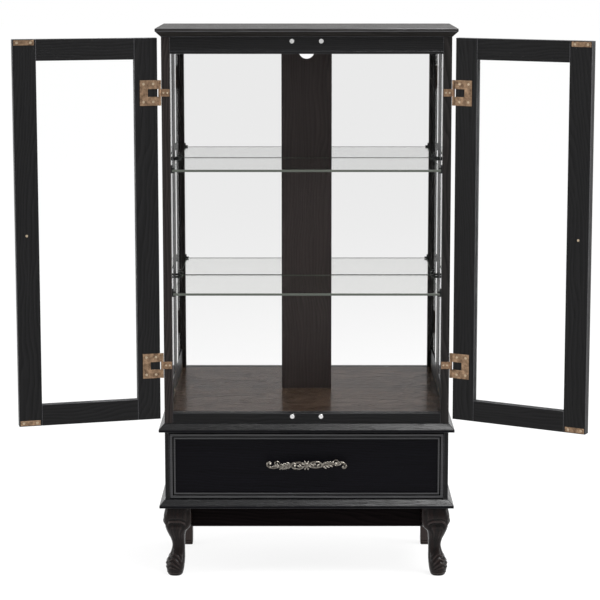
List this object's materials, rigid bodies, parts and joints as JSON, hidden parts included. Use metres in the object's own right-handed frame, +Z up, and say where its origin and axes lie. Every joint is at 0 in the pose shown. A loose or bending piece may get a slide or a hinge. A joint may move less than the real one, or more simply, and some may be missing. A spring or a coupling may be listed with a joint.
{
  "type": "glass display showcase",
  "caption": "Upright black-grained wood display cabinet with glazed double doors, glass shelves, mirrored back, a beaded drawer with an ornate pull, and cabriole front legs.",
  "frame": {"origin": "on the floor, under the middle of the case between its left and right sides and between its front frame and its back", "axes": "+Z up, the doors and the drawer face -Y, +X to the right as seen from the front"},
  "size_m": [1.2069, 0.4131, 1.194],
  "materials": {
    "black_grained_wood": "satin black paint over open grain",
    "dark_leg_wood": "satin dark brown-black",
    "drawer_box_wood": "clear lacquered pale wood",
    "hardboard": "matt dark hardboard",
    "clear_glass": "clear float glass",
    "mirror_glass": "silvered mirror",
    "antique_brass": "aged satin brass",
    "antique_cast_metal": "aged silver-brass casting",
    "magnet_steel": "bright nickel",
    "clip_metal": "black",
    "fastener_steel": "zinc plated"
  },
  "bodies": {
    "cabinet": {"back_centre_board": "black_grained_wood", "back_panel": "hardboard", "base_board": "black_grained_wood", "cam_locks": "fastener_steel", "case_hinge_leaves": "antique_brass", "case_hinge_screws": "fastener_steel", "catch_magnets": "magnet_steel", "display_floor": "black_grained_wood", "drawer_runners": "drawer_box_wood", "face_bottom_rail": "black_grained_wood", "front_apron": "black_grained_wood", "front_leg_left": "dark_leg_wood", "front_leg_right": "dark_leg_wood", "front_post_left": "black_grained_wood", "front_post_right": "black_grained_wood", "header_rail": "black_grained_wood", "hinge_pins": "antique_brass", "leg_bolts": "fastener_steel", "lower_glass_shelf": "clear_glass", "lower_side_left": "black_grained_wood", "lower_side_right": "black_grained_wood", "mirror_left": "mirror_glass", "mirror_right": "mirror_glass", "rear_leg_left": "dark_leg_wood", "rear_leg_right": "dark_leg_wood", "rear_stile_left": "black_grained_wood", "rear_stile_right": "black_grained_wood", "shelf_clips": "clip_metal", "side_bottom_rails": "black_grained_wood", "side_pane_left": "clear_glass", "side_pane_right": "clear_glass", "side_top_rails": "black_grained_wood", "top_board": "black_grained_wood", "upper_glass_shelf": "clear_glass", "waist_board": "black_grained_wood"},
    "left_door": {"left_bottom_rail": "black_grained_wood", "left_door_glass": "clear_glass", "left_door_screws": "fastener_steel", "left_hinge_leaves": "antique_brass", "left_hinge_stile": "black_grained_wood", "left_knob": "antique_brass", "left_meeting_stile": "black_grained_wood", "left_strike_plates": "antique_brass", "left_top_rail": "black_grained_wood"},
    "right_door": {"right_bottom_rail": "black_grained_wood", "right_door_glass": "clear_glass", "right_door_screws": "fastener_steel", "right_hinge_leaves": "antique_brass", "right_hinge_stile": "black_grained_wood", "right_knob": "antique_brass", "right_meeting_stile": "black_grained_wood", "right_strike_plates": "antique_brass", "right_top_rail": "black_grained_wood"},
    "drawer": {"drawer_back": "drawer_box_wood", "drawer_bottom": "drawer_box_wood", "drawer_front": "black_grained_wood", "drawer_pull": "antique_cast_metal", "drawer_side_left": "drawer_box_wood", "drawer_side_right": "drawer_box_wood", "pull_screws": "fastener_steel"}
  },
  "joints": [
    {"name": "left_door_hinge", "type": "hinge", "parent": "cabinet", "child": "left_door", "pos_m": [-0.311, -0.133, 0.764], "axis": [0, 0, -1], "range_deg": [-165.3, 14.7]},
    {"name": "right_door_hinge", "type": "hinge", "parent": "cabinet", "child": "right_door", "pos_m": [0.311, -0.133, 0.764], "axis": [0, 0, 1], "range_deg": [-151.3, 28.7]},
    {"name": "drawer_slide", "type": "slide", "parent": "cabinet", "child": "drawer", "axis": [0, -1, 0], "range_m": [0, 0.17]}
  ]
}
